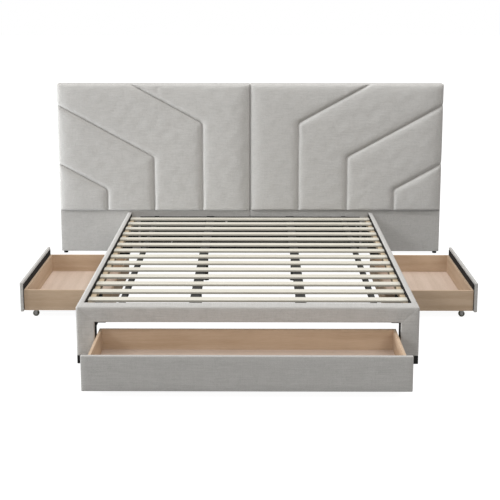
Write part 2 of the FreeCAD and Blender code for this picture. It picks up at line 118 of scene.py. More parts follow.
def smooth_noise(points, scale, seed):
    """A cheap smooth noise at each point, mostly from -1 to 1: a few sine waves in seeded directions."""
    rng = np.random.default_rng(seed)
    total = np.zeros(len(points))
    waves = 7
    for _ in range(waves):
        way = rng.normal(size=points.shape[1])
        way *= 2 * math.pi / (scale * np.linalg.norm(way)) * rng.uniform(0.6, 1.5)
        total += np.sin(points @ way + rng.uniform(0, 2 * math.pi))
    return total / math.sqrt(waves)


# ---------------------------------------------------------------- materials


class Nodes:
    """Builds a material's node tree with short calls."""

    def __init__(self, name):
        self.material = bpy.data.materials.new(name)
        self.material.use_nodes = True
        self.tree = self.material.node_tree
        self.shader = self.tree.nodes["Principled BSDF"]

    def add(self, kind, inputs=None, **settings):
        made = self.tree.nodes.new(kind)
        for key, value in settings.items():
            setattr(made, key, value)
        for key, value in (inputs or {}).items():
            self.feed(made.inputs[key], value)
        return made

    def feed(self, socket, value):
        if isinstance(value, bpy.types.NodeSocket):
            self.tree.links.new(value, socket)
        else:
            socket.default_value = value

    def math(self, operation, first, second=0.0, third=0.0):
        return self.add("ShaderNodeMath", {0: first, 1: second, 2: third}, operation=operation).outputs[0]

    def mix(self, factor, first, second):
        """A colour between two. The node's colours are its sockets 6 and 7, and its result is socket 2."""
        return self.add("ShaderNodeMix", {0: factor, 6: first, 7: second}, data_type="RGBA").outputs[2]

    def stretched(self, scale):
        """Object coordinates multiplied by a scale along each axis."""
        coords = self.add("ShaderNodeTexCoord").outputs["Object"]
        return self.add("ShaderNodeMapping", {"Vector": coords, "Scale": scale}).outputs[0]

    def noise(self, scale, detail=2.0, rough=0.5, shift=0.0):
        vector = self.stretched(scale if isinstance(scale, tuple) else (scale,) * 3)
        if shift:
            moved = self.add("ShaderNodeVectorMath", {0: vector, 1: (shift,) * 3}, operation="ADD")
            vector = moved.outputs[0]
        wanted = {"Vector": vector, "Scale": 1.0, "Detail": detail, "Roughness": rough}
        return self.add("ShaderNodeTexNoise", wanted).outputs[0]

    def ramp(self, value, low, high):
        return self.add("ShaderNodeMapRange", {0: value, 1: low, 2: high, 3: 0.0, 4: 1.0}).outputs[0]

    def bump(self, height, distance, strength=1.0):
        made = self.add("ShaderNodeBump", {"Height": height, "Distance": distance, "Strength": strength})
        self.tree.links.new(made.outputs[0], self.shader.inputs["Normal"])

    def set(self, **sockets):
        for key, value in sockets.items():
            self.feed(self.shader.inputs[key.replace("_", " ")], value)


def upholstery(name):
    """Linen-look woven polyester, silvery beige: crossing threads with slubs, a soft mottle and a slight
    sheen. The threads run along the object's axes, and each face shows the two sets that lie in it."""
    deep, pale, mottled = (0.416, 0.408, 0.396, 1), (0.518, 0.508, 0.495, 1), (0.458, 0.447, 0.431, 1)
    # The tone of the painted shade in the hollows between the threads
    weave_gap_shade = (0.20, 0.19, 0.18, 1)
    pitch = 0.0017
    n = Nodes(name)
    coords = n.add("ShaderNodeTexCoord").outputs["Object"]
    split = n.add("ShaderNodeSeparateXYZ", {0: coords})
    threads = []
    for axis in range(3):
        phase = n.math("MULTIPLY", split.outputs[axis], 2 * math.pi / pitch)
        wobble = n.noise(55.0, 2.0, 0.5, shift=3.1 * (axis + 1))
        phase = n.math("ADD", phase, n.math("MULTIPLY", wobble, 5.0))
        threads.append(n.math("ABSOLUTE", n.math("SINE", phase)))
    weave = n.math("MULTIPLY", n.math("MULTIPLY", threads[0], threads[1]), threads[2])
    slub_scales = ((14.0, 320.0, 320.0), (300.0, 300.0, 12.0), (320.0, 12.0, 320.0))
    slubs = [n.noise(scale, 2.0, 0.55, shift=7.7 * i) for i, scale in enumerate(slub_scales)]
    slub = n.math("ADD", n.math("MULTIPLY_ADD", slubs[1], 0.4, slubs[0]), slubs[2])
    slub = n.ramp(slub, 0.90, 1.50)
    mottle = n.noise(9.0, 3.0, 0.6, shift=21.0)
    tone = n.mix(n.ramp(slub, 0.1, 0.9), deep, pale)
    tone = n.mix(n.math("MULTIPLY", n.ramp(mottle, 0.35, 0.7), 0.35), tone, mottled)
    # The gaps between the threads are painted darker: painted shade in the weave's hollows
    gap_shade = n.math("MULTIPLY", n.math("SUBTRACT", 1.0, n.ramp(weave, 0.0, 0.25)), 0.16)
    tone = n.mix(gap_shade, tone, weave_gap_shade)
    n.set(Base_Color=tone, Roughness=n.math("MULTIPLY_ADD", slub, -0.12, 0.90))
    n.set(Sheen_Weight=0.35, Sheen_Roughness=0.45, Specular_IOR_Level=0.25)
    height = n.math("ADD", n.math("MULTIPLY", weave, 0.6), n.math("MULTIPLY", slub, 0.55))
    n.bump(height, 0.0006, 0.55)
    return n.material


def black_cloth(name):
    """Thin non-woven cloth: near black, with an embossed grid of dots and stray fibres."""
    black, worn = (0.006, 0.006, 0.0065, 1), (0.035, 0.034, 0.034, 1)
    n = Nodes(name)
    fibres = n.noise(900.0, 3.0, 0.7)
    cloud = n.noise(30.0, 2.0, 0.5, shift=4.0)
    tone = n.mix(n.math("MULTIPLY", fibres, cloud), black, worn)
    wanted = {"Vector": n.stretched((420.0,) * 3), "Scale": 1.0, "Randomness": 0.25}
    dots = n.add("ShaderNodeTexVoronoi", wanted)
    n.set(Base_Color=tone, Roughness=0.92, Specular_IOR_Level=0.25)
    n.bump(n.math("ADD", n.ramp(dots.outputs["Distance"], 0.15, 0.5), fibres), 0.0003, 0.5)
    return n.material


def board_coordinates(n):
    """Object coordinates turned so that a board's length is always the first axis: a side that faces along X
    is taken to belong to a board that runs along Y."""
    coords = n.add("ShaderNodeTexCoord")
    place = n.add("ShaderNodeSeparateXYZ", {0: coords.outputs["Object"]}).outputs
    way = n.add("ShaderNodeSeparateXYZ", {0: coords.outputs["Normal"]}).outputs
    turned = n.math("GREATER_THAN", n.math("ABSOLUTE", way[0]), n.math("ABSOLUTE", way[1]))
    straight = n.math("SUBTRACT", 1.0, turned)
    length = n.math("ADD", n.math("MULTIPLY", place[0], straight), n.math("MULTIPLY", place[1], turned))
    across = n.math("ADD", n.math("MULTIPLY", place[1], straight), n.math("MULTIPLY", place[0], turned))
    return n.add("ShaderNodeCombineXYZ", {0: length, 1: across, 2: place[2]}).outputs[0]


def timber(name, pale, deep, along="x", ring=26.0, gloss=0.55, streak=0.5, edge=0.0):
    """Wood whose grain runs along one axis, or along each board: long fibres, wider bands of tone, and short
    pores. edge is how much darker the sides that face along Y are painted, as painted shade on those sides."""
    n = Nodes(name)
    base = board_coordinates(n) if along == "board" else n.add("ShaderNodeTexCoord").outputs["Object"]
    main = "xyz".index("x" if along == "board" else along)

    def grain_noise(scale, stretch, detail, rough, shift):
        scales = [scale] * 3
        scales[main] = scale * stretch
        wanted = {"Vector": base, "Scale": scales, "Location": (shift,) * 3}
        vector = n.add("ShaderNodeMapping", wanted).outputs[0]
        wanted = {"Vector": vector, "Scale": 1.0, "Detail": detail, "Roughness": rough}
        return n.add("ShaderNodeTexNoise", wanted).outputs[0]

    bands = grain_noise(ring, 0.045, 3.0, 0.55, 0.0)
    fibre = grain_noise(520.0, 0.045, 3.0, 0.6, 5.0)
    pores = grain_noise(1100.0, 0.02, 1.0, 0.5, 9.0)
    blotch = grain_noise(3.2, 1.0, 2.0, 0.5, 2.0)
    grain = n.math("ADD", n.math("MULTIPLY", bands, 0.6), n.math("MULTIPLY", fibre, 0.4))
    grain = n.math("ADD", grain, n.math("MULTIPLY", n.math("SUBTRACT", blotch, 0.5), 0.35))
    tone = n.mix(n.math("MULTIPLY", n.ramp(grain, 0.36, 0.66), streak), pale, deep)
    dark = tuple(0.5 * c for c in deep[:3]) + (1,)
    tone = n.mix(n.math("MULTIPLY", n.ramp(pores, 0.66, 0.78), 0.35), tone, dark)
    # Painted shade: the sides that face along Y are made darker, by as much as edge
    if edge:
        way = n.add("ShaderNodeSeparateXYZ", {0: n.add("ShaderNodeTexCoord").outputs["Normal"]}).outputs[1]
        side = n.ramp(n.math("ABSOLUTE", way), 0.45, 0.95)
        tone = n.mix(n.math("MULTIPLY", side, edge), tone, dark)
    n.set(Base_Color=tone, Roughness=n.math("MULTIPLY_ADD", fibre, 0.18, gloss), Specular_IOR_Level=0.35)
    n.bump(n.math("SUBTRACT", fibre, n.ramp(pores, 0.66, 0.78)), 0.0003, 0.35)
    return n.material


def painted_steel(name):
    """Matt black powder coat with a fine orange-peel skin."""
    black, scuffed = (0.012, 0.012, 0.013, 1), (0.04, 0.04, 0.041, 1)
    n = Nodes(name)
    peel = n.noise(700.0, 2.0, 0.5)
    scuff = n.noise(18.0, 4.0, 0.65, shift=3.0)
    tone = n.mix(n.math("MULTIPLY", n.ramp(scuff, 0.55, 0.8), 0.5), black, scuffed)
    n.set(Base_Color=tone, Roughness=n.math("MULTIPLY_ADD", scuff, 0.25, 0.42), Metallic=0.0)
    n.bump(peel, 0.0002, 0.4)
    return n.material


def moulded_plastic(name, tone, worn, gloss, clear=0.0):
    """Moulded plastic with a fine spark texture and scuffs."""
    n = Nodes(name)
    grit = n.noise(1500.0, 2.0, 0.6)
    scuff = n.noise(45.0, 4.0, 0.7, shift=6.0)
    n.set(Base_Color=n.mix(n.math("MULTIPLY", n.ramp(scuff, 0.52, 0.8), 0.6), tone, worn))
    n.set(Roughness=n.math("MULTIPLY_ADD", scuff, 0.3, gloss), Specular_IOR_Level=0.4)
    if clear:
        n.set(Subsurface_Weight=clear, Subsurface_Radius=(0.004, 0.004, 0.003))
    n.bump(grit, 0.00015, 0.4)
    return n.material


def zinc_plate(name):
    """Bright zinc plating with a spangle and light scratches."""
    dull, bright = (0.52, 0.52, 0.50, 1), (0.66, 0.66, 0.65, 1)
    n = Nodes(name)
    wanted = {"Vector": n.stretched((260.0,) * 3), "Scale": 1.0}
    spangle = n.add("ShaderNodeTexVoronoi", wanted, feature="F1")
    scratch = n.noise((40.0, 1400.0, 900.0), 2.0, 0.6)
    tone = n.mix(n.ramp(spangle.outputs["Distance"], 0.1, 0.8), dull, bright)
    n.set(Base_Color=tone, Metallic=1.0, Roughness=n.math("MULTIPLY_ADD", scratch, 0.25, 0.28))
    n.bump(scratch, 0.0001, 0.3)
    return n.material


# Each timber's pale and deep tone
BIRCH = ((0.66, 0.64, 0.575, 1), (0.55, 0.51, 0.425, 1))
BEECH_BOARD = ((0.550, 0.415, 0.300, 1), (0.400, 0.280, 0.180, 1))
BEECH_PANEL = ((0.62, 0.50, 0.42, 1), (0.49, 0.38, 0.30, 1))
RAW_BOARD = ((0.60, 0.49, 0.35, 1), (0.45, 0.34, 0.22, 1))

# Each plastic's own tone and its worn tone
BLACK_PLASTIC = ((0.012, 0.012, 0.012, 1), (0.05, 0.05, 0.05, 1))
WHEEL_PLASTIC = ((0.12, 0.12, 0.085, 1), (0.08, 0.08, 0.06, 1))

fabric = upholstery("woven_fabric")
cloth = black_cloth("black_nonwoven")
# The slats' front and back sides get painted shade through edge, which darkens them
slat_wood = timber("bleached_birch", *BIRCH, "x", 22.0, streak=0.6, edge=0.45)
beech_boards = timber("beech_boards", *BEECH_BOARD, "board", 30.0, streak=0.75)
beech_panels = {
    axis: timber(f"beech_panel_along_{axis}", *BEECH_PANEL, axis, 24.0, streak=0.8) for axis in "xy"
}
raw_wood = timber("raw_board", *RAW_BOARD, "x", 20.0, gloss=0.75)
steel = painted_steel("black_powder_coat")
black_plastic = moulded_plastic("black_plastic", *BLACK_PLASTIC, 0.45)
wheel_plastic = moulded_plastic("wheel_plastic", *WHEEL_PLASTIC, 0.35, clear=0.1)
zinc = zinc_plate("zinc_plate")


# ---------------------------------------------------------------- quilted panels


class Outline:
    """A closed line in a panel's plane. Each of its points has an outward normal and an edge radius, which is
    how far the panel's edge is rounded there."""

    def __init__(self, corners, radii, rounding, step):
        """Corners run anticlockwise. rounding[i] is the radius of corner i in the plane, radii[i] is the edge
        radius of the side after it, and step is the spacing of the points."""
        points, sizes = [], []
        count = len(corners)
        for i in range(count):
            here, before, after = (np.array(corners[j % count], float) for j in (i, i - 1, i + 1))
            into, out = here - before, after - here
            into, out = into / np.linalg.norm(into), out / np.linalg.norm(out)
            turn = math.atan2(into[0] * out[1] - into[1] * out[0], into @ out)
            cut = rounding[i] * math.tan(abs(turn) / 2)
            arc = max(1, int(abs(turn) / math.radians(EDGE_STEP)))
            start, normal = here - into * cut, np.array([-into[1], into[0]]) * math.copysign(1, turn)
            for k in range(arc + 1):
                angle, share = abs(turn) * k / arc, k / arc
                points.append(start + rounding[i] * (into * math.sin(angle) + normal * (1 - math.cos(angle))))
                sizes.append(radii[i - 1] * (1 - share) + radii[i] * share)
        self.points, self.radii = [], []
        for i, start in enumerate(points):
            end = points[(i + 1) % len(points)]
            pieces = max(1, round(np.linalg.norm(end - start) / step))
            for k in range(pieces):
                self.points.append(start + (end - start) * k / pieces)
                self.radii.append(sizes[i] + (sizes[(i + 1) % len(points)] - sizes[i]) * k / pieces)
        self.points, self.radii = np.array(self.points), np.array(self.radii)
        ends = np.roll(self.points, -1, axis=0)
        along = ends - self.points
        along /= np.linalg.norm(along, axis=1)[:, None]
        outward = np.stack([along[:, 1], -along[:, 0]], 1)
        self.normals = outward + np.roll(outward, 1, axis=0)
        self.normals /= np.linalg.norm(self.normals, axis=1)[:, None]


def distance_to(points, starts, ends):
    """For each point, its distance to the nearest of some segments, which one that is, and how far along it
    the nearest spot is, from 0 to 1."""
    best = np.full(len(points), 1e9)
    which = np.zeros(len(points), int)
    share = np.zeros(len(points))
    for i, (a, b) in enumerate(zip(starts, ends)):
        d = b - a
        t = np.clip(((points - a) @ d) / max(d @ d, 1e-18), 0, 1)
        gap = np.linalg.norm(points - (a + t[:, None] * d), axis=1)
        closer = gap < best - 1e-9
        best[closer], which[closer], share[closer] = gap[closer], i, t[closer]
    return best, which, share


def inside(points, polygon):
    """Which points are inside a polygon, by counting the sides to the right of each."""
    x, y = points[:, 0], points[:, 1]
    result = np.zeros(len(points), bool)
    for (x0, y0), (x1, y1) in zip(polygon, np.roll(polygon, -1, axis=0)):
        crosses = (y0 > y) != (y1 > y)
        result ^= crosses & (x < x0 + (y - y0) * (x1 - x0) / (y1 - y0 if y1 != y0 else 1e-12))
    return result


def scattered(fixed, rows, grid, outline):
    """The points of a mesh: the fixed ones, then from each row, and last from a staggered grid, those that
    have room. A row is the room that each of its points needs, and the points."""
    kept, cells = [], {}

    def cell(point):
        return math.floor(point[0] / grid), math.floor(point[1] / grid)

    def room(point, gap):
        column, line = cell(point)
        near = (cells.get((column + i, line + j), ()) for i in (-1, 0, 1) for j in (-1, 0, 1))
        return all((point[0] - x) ** 2 + (point[1] - y) ** 2 > gap * gap for group in near for x, y in group)

    def keep(point):
        kept.append(point)
        cells.setdefault(cell(point), []).append(tuple(point))

    for point in fixed:
        keep(point)
    for gap, points in rows:
        for point in points:
            if room(point, gap):
                keep(point)
    low, high = outline.min(0), outline.max(0)
    lines = np.arange(low[1], high[1], grid * 0.87)
    across = np.arange(low[0], high[0], grid)
    filling = np.array([(x + (i % 2) * grid / 2, y) for i, y in enumerate(lines) for x in across])
    for point in filling[inside(filling, outline)]:
        if room(point, grid * 0.72):
            keep(point)
    return kept


def seam_line(points, rounding, step):
    """A seam's samples: straight runs, joined by a curve at each corner."""
    points = [np.array(p, float) for p in points]
    made = [points[0]]
    for before, corner, after in zip(points, points[1:], points[2:]):
        start = corner - (corner - before) / np.linalg.norm(corner - before) * rounding
        end = corner + (after - corner) / np.linalg.norm(after - corner) * rounding
        made += [(1 - t) ** 2 * start + 2 * t * (1 - t) * corner + t * t * end for t in np.linspace(0, 1, 6)]
    made.append(points[-1])
    line = [made[0]]
    for start, end in zip(made, made[1:]):
        pieces = max(1, round(np.linalg.norm(end - start) / step))
        line += [start + (end - start) * k / pieces for k in range(1, pieces + 1)]
    return np.array(line)


class Panel:
    """An upholstered panel: a closed mesh with a padded front, rounded edges, seams drawn into it, straight
    sides and a flat back. u and v lie in the panel's plane and w is out of its front."""

    def __init__(self, outline, depth, grid, crowns=(), seams=(), pocket=None, waves=0.0, seed=1):
        """crowns are (start, end, fall, reach) of the sides that the front falls away to. seams are their
        samples with the depth and width of the crease and of the slope. pocket is the width round the boards
        and the depth of the hollow in the back. waves is the height of the padding's unevenness."""
        self.outline, self.depth, self.crowns, self.seams = outline, depth, crowns, seams
        self.waves, self.seed = waves, seed
        edge = outline.points
        # A seam that ends on the outline shares a point with it
        for line, *_ in seams:
            for end in (line[0], line[-1]):
                if distance_to(end[None], edge, np.roll(edge, -1, axis=0))[0][0] < 0.001:
                    edge[np.argmin(np.linalg.norm(edge - end, axis=1))] = end
        self.starts, self.ends = edge, np.roll(edge, -1, axis=0)
        self.mesh_front(grid)
        self.close_back(self.padded_front(), pocket)

    def seam_depth(self, points):
        """How far the seams pull each point down."""
        total = np.zeros(len(points))
        for line, crease, crease_width, slope, slope_width in self.seams:
            gap, _, _ = distance_to(points, line[:-1], line[1:])
            dip = crease * np.exp(-((gap / crease_width) ** 1.3)) + slope * np.exp(-gap / slope_width)
            total = np.maximum(total, dip)
        return total

    def crown_depth(self, points):
        """How far the front falls away at each point towards the crowned sides."""
        total = np.zeros(len(points))
        for start, end, fall, reach in self.crowns:
            gap, _, _ = distance_to(points, [np.array(start)], [np.array(end)])
            total += (fall * np.exp(-gap / reach)) ** 2
        return np.sqrt(total)

    def rows_beside(self, line, grid):
        """Rows of mesh points along both sides of a seam, clear of its bends and of the outline."""
        edge = self.outline.points
        along = np.gradient(line, axis=0)
        along /= np.linalg.norm(along, axis=1)[:, None]
        across = np.stack([-along[:, 1], along[:, 0]], 1)
        for gap, room in SEAM_ROWS:
            both = np.concatenate([line + across * gap, line - across * gap])
            true = distance_to(both, line[:-1], line[1:])[0] > gap * 0.97
            clear = distance_to(both, self.starts, self.ends)[0] > gap * 0.5
            yield min(room, grid * 0.7), both[true & clear & inside(both, edge)]

    def ring_inside(self, gap):
        """Mesh points at one distance inside the outline, without those that come closer to another side."""
        edge = self.outline.points
        ring = edge - self.outline.normals * gap
        true = distance_to(ring, self.starts, self.ends)[0] > gap * 0.97
        return ring[true & inside(ring, edge)]

    def mesh_front(self, grid):
        """A flat triangle mesh of the front, with the outline and the seams among its edges."""
        edge, radius = self.outline.points, self.outline.radii.max()
        lines = [line for line, *_ in self.seams]
        rows = [row for line in lines for row in self.rows_beside(line, grid)]
        for degrees in range(EDGE_STEP, 91, EDGE_STEP):
            gap = radius * (1 - math.cos(math.radians(degrees)))
            rows.append((max(0.0012, gap * 0.2), self.ring_inside(gap)))
        rows += [(grid * 0.6, self.ring_inside(share * radius)) for share in FLAT_RINGS]
        rows.sort(key=lambda row: row[0])
        fixed = [tuple(p) for p in edge]
        known = {p: i for i, p in enumerate(fixed)}
        bonds = [(i, (i + 1) % len(edge)) for i in range(len(edge))]
        for line in lines:
            chain = []
            for point in map(tuple, line):
                if point not in known:
                    known[point] = len(fixed)
                    fixed.append(point)
                chain.append(known[point])
            bonds += list(zip(chain, chain[1:]))
        points = scattered(fixed, rows, grid, edge)
        flat, _, faces, source, _, _ = delaunay_2d_cdt([Vector(p) for p in points], bonds, [], 1, 1e-7)
        self.flat = np.array([tuple(p) for p in flat])
        self.faces = [tuple(f) for f in faces]
        where = {first: j for j, originals in enumerate(source) for first in originals}
        self.loop = [where[i] for i in range(len(edge))]
        self.on_seam = np.zeros(len(self.flat), bool)
        for line in lines:
            self.on_seam[[where[known[tuple(p)]] for p in line]] = True

    def padded_front(self):
        """The front's points at their heights: the rounded edge, the fall to the sides, the seams and the
        padding's unevenness."""
        radii = self.outline.radii
        gap, which, share = distance_to(self.flat, self.starts, self.ends)
        radius = radii[which] * (1 - share) + radii[(which + 1) % len(radii)] * share
        nearest = self.starts[which] + share[:, None] * (self.ends[which] - self.starts[which])
        way = nearest - self.flat
        length = np.linalg.norm(way, axis=1)
        way[length > 1e-7] /= length[length > 1e-7, None]
        way[self.loop] = self.outline.normals
        side = np.clip(1 - gap / radius, 0, 1)
        up = np.sqrt(1 - side**2)
        dip = self.seam_depth(self.flat)
        rough = self.waves * smooth_noise(self.flat, SLOW_WAVE, self.seed)
        rough += QUICK_SHARE * self.waves * smooth_noise(self.flat, QUICK_WAVE, self.seed + 1)
        fade = np.clip(gap / 0.03, 0, 1) * np.exp(-dip / 0.006)
        lower = self.crown_depth(self.flat) + dip * up
        height = -radius * (1 - up) - lower + rough * fade
        plane = self.flat - way * (SEAM_WRAP * dip * side)[:, None]
        self.held = self.on_seam | (gap < 0.2 * radius)
        return np.column_stack([plane, height])

    def close_back(self, front, pocket):
        """Adds the straight sides, the rounded rim of the back, its pocket and its flat face."""
        edge, out, radii = self.outline.points, self.outline.normals, self.outline.radii
        side_dip = SEAM_WRAP * self.seam_depth(edge)
        top = -radii - self.crown_depth(edge)
        back_round = np.minimum(0.003, 0.3 * radii)
        back = np.full(len(edge), -self.depth)
        rows = []
        for k in range(1, SIDE_LEVELS + 1):
            down = k / SIDE_LEVELS
            level = top + (-(self.depth - back_round) - top) * down
            rows.append((edge - out * side_dip[:, None] * (1 - down), level))
        rows.append((edge - out * (0.3 * back_round)[:, None], back + 0.3 * back_round))
        rows.append((edge - out * back_round[:, None], back))
        if pocket:
            wrap, hollow = pocket
            rows.append((edge - out * wrap, back))
            rows.append((edge - out * wrap, back + hollow))
        points, faces = [front], list(self.faces)
        previous, count = np.array(self.loop), len(front)
        after = np.roll(np.arange(len(edge)), -1)
        for place, level in rows:
            points.append(np.column_stack([place, level]))
            current = np.arange(count, count + len(edge))
            count += len(edge)
            faces += [(previous[i], current[i], current[j], previous[j]) for i, j in enumerate(after)]
            previous = current
        place, level = rows[-1]
        rim = [tuple(p) for p in place]
        bonds = [(i, (i + 1) % len(rim)) for i in range(len(rim))]
        spots = scattered(rim, [], BACK_GRID, np.array(rim))
        flat, _, caps, source, _, _ = delaunay_2d_cdt([Vector(p) for p in spots], bonds, [], 1, 1e-7)
        where, inner = {}, []
        for j, originals in enumerate(source):
            first = min(originals) if originals else -1
            if 0 <= first < len(rim):
                where[j] = previous[first]
            else:
                where[j] = count + len(inner)
                inner.append((flat[j].x, flat[j].y, float(np.mean(level))))
        if inner:
            points.append(np.array(inner))
        faces += [tuple(where[j] for j in reversed(face)) for face in caps]
        self.points, self.all_faces = np.concatenate(points), faces
        self.held = np.concatenate([self.held, np.ones(len(self.points) - len(front), bool)])

    def build(self, name, place):
        """The mesh, placed by a matrix that takes u, v and w to the frame."""
        mesh = bpy.data.meshes.new(name)
        spots = [place @ Vector(p) for p in self.points]
        mesh.from_pydata(spots, [], self.all_faces)
        work = bmesh.new()
        work.from_mesh(mesh)
        bmesh.ops.recalc_face_normals(work, faces=work.faces)
        work.to_mesh(mesh)
        work.free()
        mesh.shade_smooth()
        return mesh


def puffed(piece, held):
    """Blows the padding up with a short cloth simulation, and moves each point that isn't held by what it
    gave, up to a cap."""
    scene = bpy.context.scene
    trial = add_to_scene("trial", piece.data.copy())
    group = trial.vertex_groups.new(name="held")
    group.add([int(i) for i in np.flatnonzero(held)], 1.0, "REPLACE")
    cloth = trial.modifiers.new("cloth", "CLOTH")
    settings = cloth.settings
    settings.quality = 6
    settings.mass = 0.3
    settings.tension_stiffness = settings.compression_stiffness = 18
    settings.shear_stiffness = 8
    settings.bending_stiffness = 1.5
    settings.use_pressure = True
    settings.uniform_pressure_force = PUFF_PRESSURE
    settings.shrink_min = PUFF_SHRINK
    settings.vertex_group_mass = "held"
    settings.pin_stiffness = 1.0
    settings.effector_weights.gravity = 0
    cloth.point_cache.frame_start, cloth.point_cache.frame_end = 1, PUFF_FRAMES
    for moment in range(1, PUFF_FRAMES + 1):
        scene.frame_set(moment)
    solved = trial.evaluated_get(bpy.context.evaluated_depsgraph_get()).to_mesh()
    after = np.array([v.co for v in solved.vertices])
    before = np.array([v.co for v in piece.data.vertices])
    step = after - before
    size = np.linalg.norm(step, axis=1)
    step *= (PUFF_MOST * np.tanh(size / PUFF_MOST) / np.maximum(size, 1e-9))[:, None]
    piece.data.vertices.foreach_set("co", (before + step).astype(np.float32).ravel())
    piece.data.update()
    bpy.data.objects.remove(trial)
    scene.frame_set(1)


def facing(normal, origin=(0, 0, 0)):
    """The matrix of a panel whose front faces along normal: v is up, and u is to the right seen from the
    front."""
    normal, up = Vector(normal), Vector((0, 0, 1))
    across = up.cross(normal)
    turn = Matrix((across, up, normal)).transposed().to_4x4()
    return Matrix.Translation(origin) @ turn


def rectangle(low, high):
    """The corners of a rectangle, anticlockwise from its low one."""
    return [(low[0], low[1]), (high[0], low[1]), (high[0], high[1]), (low[0], high[1])]


# ---------------------------------------------------------------- headboard


def headboard_pad(side):
    """One half of the quilted headboard, from the split at the middle to the outer edge."""
    low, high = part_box(f"headboard_pad_{side}")
    way = 1 if side == "right" else -1
    corners = rectangle((low.x, low.z), (high.x, high.z))
    outline = Outline(corners, (0.009, 0.016, 0.018, 0.016), (0.004, 0.004, 0.011, 0.011), 0.010)
    outer = max(abs(low.x), abs(high.x))
    seams = []
    for across, corner in SEAM_CORNERS:
        reach = outer - across
        end = (outer, corner + SEAM_SLOPE * reach)
        if end[1] > high.z:
            end = (across + (high.z - corner) / SEAM_SLOPE, high.z)
        route = [(way * across, low.z), (way * across, corner), (way * end[0], end[1])]
        seams.append((seam_line(route, 0.022, 0.008), *SEWN_CHANNEL))
    bottom_fall, side_fall, top_fall = (0.003, 0.03), (0.018, 0.045), (0.012, 0.035)
    falls = (bottom_fall, side_fall, top_fall, side_fall)
    crowns = [(corners[i], corners[(i + 1) % 4], *falls[i]) for i in range(4)]
    pad = Panel(outline, high.y - low.y, 0.014, crowns, seams, HEAD_POCKET, waves=0.0007, seed=3)
    name = f"padded_headboard_{side}"
    mesh = pad.build(name, facing((0, -1, 0), origin=(0, low.y, 0)))
    piece = new_piece(name, mesh, "bed", fabric, [f"headboard_pad_{side}"])
    puffed(piece, pad.held)


def headboard_skirt(side):
    """The plain upholstered strip below a quilted half. The right one has a soft crease near its top."""
    low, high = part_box("headboard_skirts")
    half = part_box(f"headboard_pad_{side}")
    corners = rectangle((half[0].x, low.z), (half[1].x, high.z))
    outline = Outline(corners, (0.006, 0.008, 0.005, 0.008), (0.003,) * 4, 0.012)
    creases = []
    if side == "right":
        tuck = [(0.86, high.z - 0.022), (1.02, high.z - 0.032), (1.22, high.z - 0.037)]
        creases.append((seam_line(tuck, 0.05, 0.014), *SKIRT_CREASE))
    ends = [(corners[i], corners[(i + 1) % 4], 0.003, 0.03) for i in (1, 3)]
    pad = Panel(outline, high.y - low.y, 0.026, ends, creases, HEAD_POCKET, waves=0.0006, seed=11)
    name = f"headboard_skirt_{side}"
    mesh = pad.build(name, facing((0, -1, 0), origin=(0, low.y, 0)))
    piece = new_piece(name, mesh, "bed", fabric, ["headboard_skirts"])


for side in ("left", "right"):
    headboard_pad(side)
    headboard_skirt(side)


# ---------------------------------------------------------------- footboard and side rails


def arch_corners(low, high, gap, top):
    """The outline of an upside-down U, anticlockwise: its box, and the span and top of its opening."""
    left_foot, right_foot = [low, (gap[0], low[1])], [(gap[1], low[1]), (high[0], low[1])]
    return [*left_foot, (gap[0], top), (gap[1], top), *right_foot, high, (low[0], high[1])]


def footboard_cover():
    """The footboard's padded cover, with a fold of the fabric across each corner of its arch."""
    low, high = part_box("footboard_cover")
    half = FOOT_OPENING_HALF
    corners = arch_corners((low.x, low.z), (high.x, high.z), (-half, half), OPENING_TOP)
    radii = (0.004, 0.005, 0.005, 0.005, 0.004, 0.011, 0.011, 0.011)
    rounding = (0.003, 0.003, 0.004, 0.004, 0.003, 0.003, 0.011, 0.011)
    outline = Outline(corners, radii, rounding, 0.010)
    folds = []
    for way in (-1, 1):
        fold = [(way * (half + 0.012), OPENING_TOP + 0.010), (way * (high.x - 0.020), high.z - 0.016)]
        folds.append((seam_line(fold, 0.0, 0.008), *FOOTBOARD_FOLD))
    pad = Panel(outline, high.y - low.y, 0.020, (), folds, FOOT_POCKET, waves=0.0005, seed=23)
    mesh = pad.build("padded_footboard", facing((0, -1, 0), origin=(0, low.y, 0)))
    piece = new_piece("padded_footboard", mesh, "bed", fabric, ["footboard_cover"])


def side_rail_cover(side):
    """A side rail's padded cover. Its ends are almost square, where they meet the headboard and footboard."""
    node = f"side_rail_cover_{side}"
    low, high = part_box(node)
    way = 1 if side == "right" else -1
    ends = sorted((way * low.y, way * high.y))
    gap = sorted(way * y for y in SIDE_OPENING)
    corners = arch_corners((ends[0], low.z), (ends[1], high.z), gap, OPENING_TOP)
    radii = (0.004, 0.005, 0.005, 0.005, 0.004, 0.0015, 0.012, 0.0015)
    rounding = (0.003, 0.003, 0.004, 0.004, 0.003, 0.003, 0.003, 0.003)
    outline = Outline(corners, radii, rounding, 0.014)
    pad = Panel(outline, high.x - low.x, 0.026, pocket=RAIL_POCKET, waves=0.0005, seed=31)
    face = high.x if side == "right" else low.x
    name = f"padded_side_rail_{side}"
    mesh = pad.build(name, facing((way, 0, 0), origin=(face, 0, 0)))
    piece = new_piece(name, mesh, "bed", fabric, [node])


footboard_cover()
for side in ("left", "right"):
    side_rail_cover(side)


# ---------------------------------------------------------------- drawer fronts


